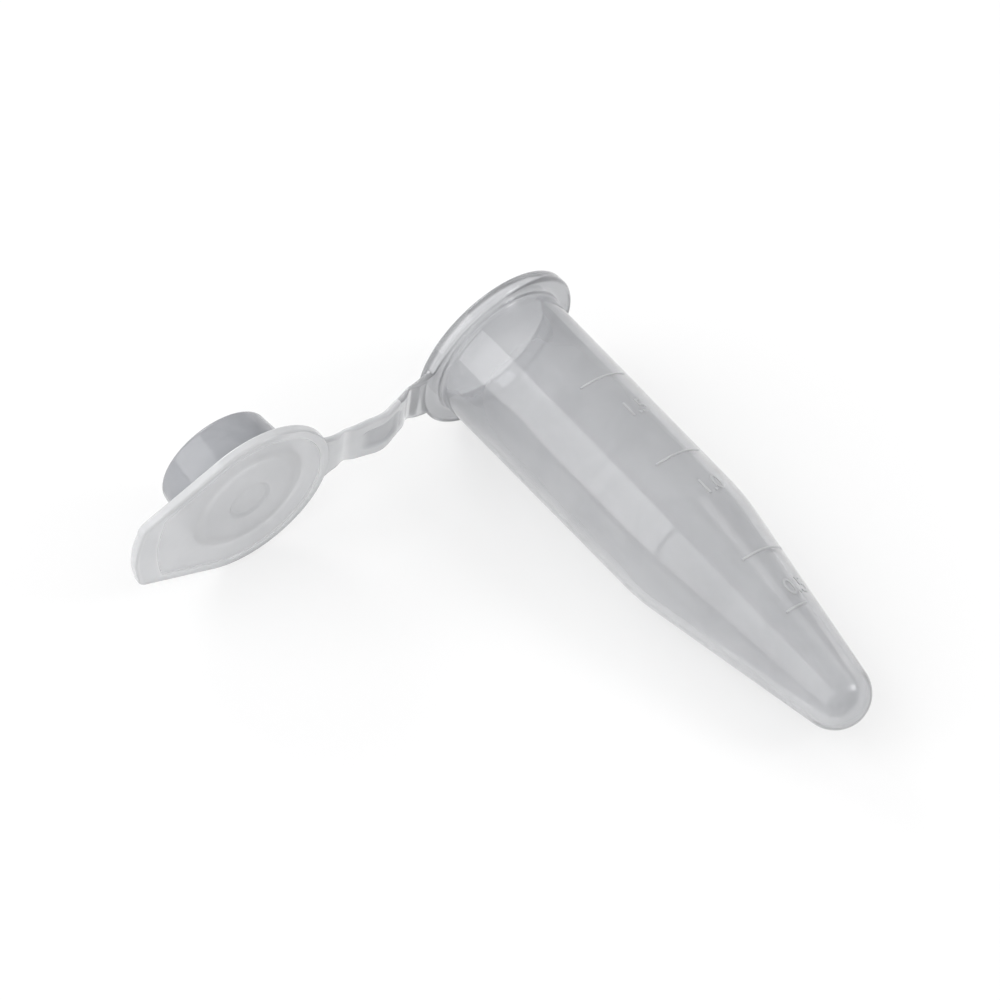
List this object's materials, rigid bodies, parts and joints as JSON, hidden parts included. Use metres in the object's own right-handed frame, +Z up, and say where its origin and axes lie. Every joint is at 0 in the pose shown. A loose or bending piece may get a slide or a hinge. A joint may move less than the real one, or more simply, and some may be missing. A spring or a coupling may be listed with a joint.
{
  "type": "snap-cap conical tube",
  "caption": "Small conical lab tube with a collar, a flat hinge strap that folds in the middle and a snap cap with a thumb tab and a hollow sealing plug.",
  "frame": {"origin": "middle of the footprint on the surface that the open tube lies on", "axes": "+X runs from the mouth to the tip, +Z is up, and the open cap lies beside the mouth on the -Y side"},
  "size_m": [0.0436, 0.0388, 0.0135],
  "materials": {
    "natural_polypropylene": "undyed translucent polypropylene with a satin moulded skin"
  },
  "bodies": {
    "tube": {"tube": "natural_polypropylene"},
    "strap_tube_side": {"strap_tube_side": "natural_polypropylene"},
    "strap_cap_side": {"strap_cap_side": "natural_polypropylene"},
    "cap": {"cap": "natural_polypropylene"}
  },
  "joints": [
    {"name": "collar_crease", "type": "hinge", "parent": "tube", "child": "strap_tube_side", "pos_m": [-0.01707, 0.00435, 0.00675], "axis": [-0.0761, 0, -0.9971], "range_deg": [0, 23]},
    {"name": "strap_bend", "type": "hinge", "parent": "strap_tube_side", "child": "strap_cap_side", "pos_m": [-0.01634, 0.00147, 0.00669], "axis": [-0.0761, 0, -0.9971], "range_deg": [0, 137.4]},
    {"name": "cap_crease", "type": "hinge", "parent": "strap_cap_side", "child": "cap", "pos_m": [-0.0169, -0.00145, 0.00673], "axis": [-0.0761, 0, -0.9971], "range_deg": [0, 16.2]}
  ],
  "couplings": [
    {"joint": "collar_crease", "follows": "strap_bend", "ratio": 0.16739},
    {"joint": "cap_crease", "follows": "strap_bend", "ratio": 0.1179}
  ]
}
